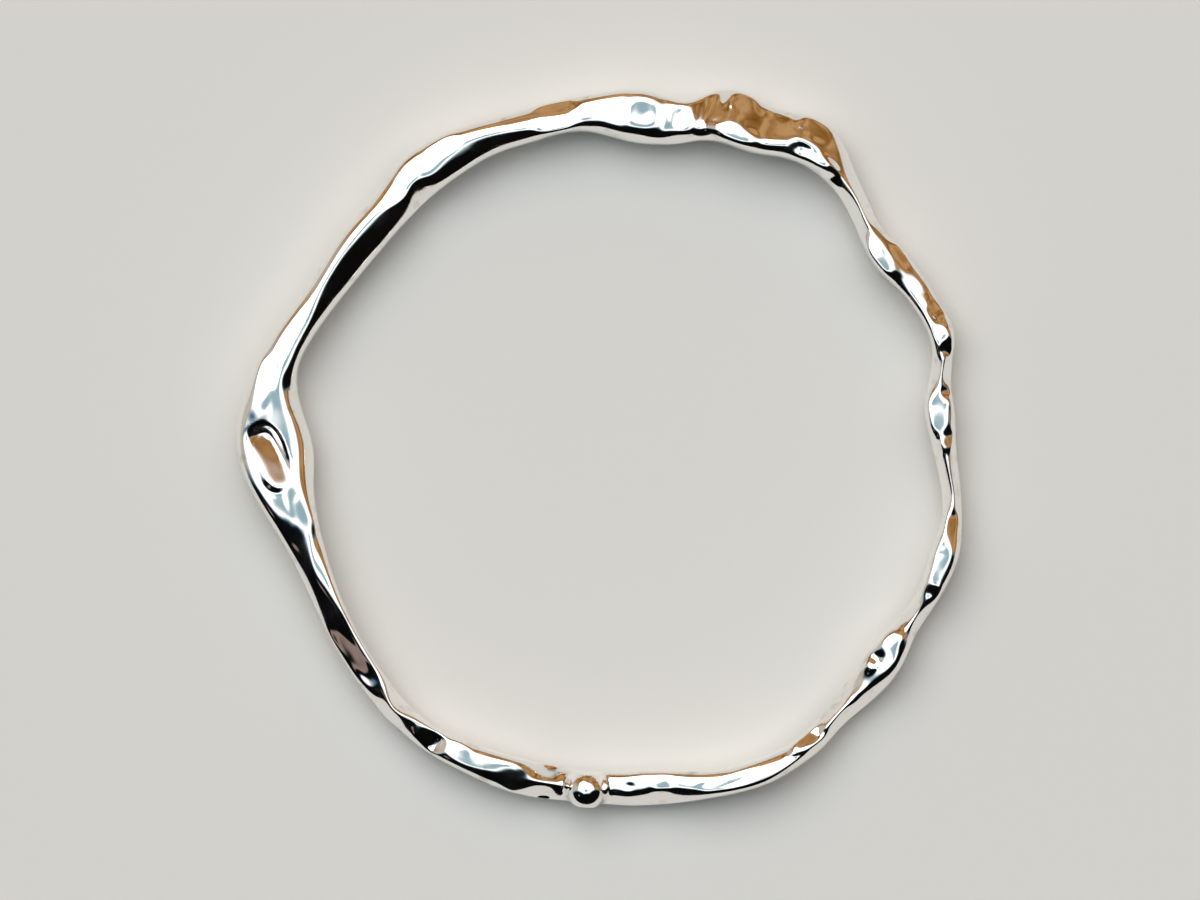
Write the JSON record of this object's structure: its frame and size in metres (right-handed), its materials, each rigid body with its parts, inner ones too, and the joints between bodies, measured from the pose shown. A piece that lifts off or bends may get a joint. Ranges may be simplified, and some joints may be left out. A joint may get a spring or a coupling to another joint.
{
  "type": "finger ring",
  "caption": "Finger ring cast in one piece, a thin molten-looking band of swellings and necks with a small round granule, lying on its side.",
  "frame": {"origin": "middle of the ring's outline, on the plane that the ring rests on", "axes": "+Z along the finger's axis and up as the ring lies, +Y towards the broad dished swelling, -X towards the widest swelling"},
  "size_m": [0.0204, 0.0203, 0.0018],
  "materials": {
    "silver": "bright cast silver with a tumbled polish"
  },
  "bodies": {
    "root": {"ring_band": "silver"}
  },
  "joints": []
}
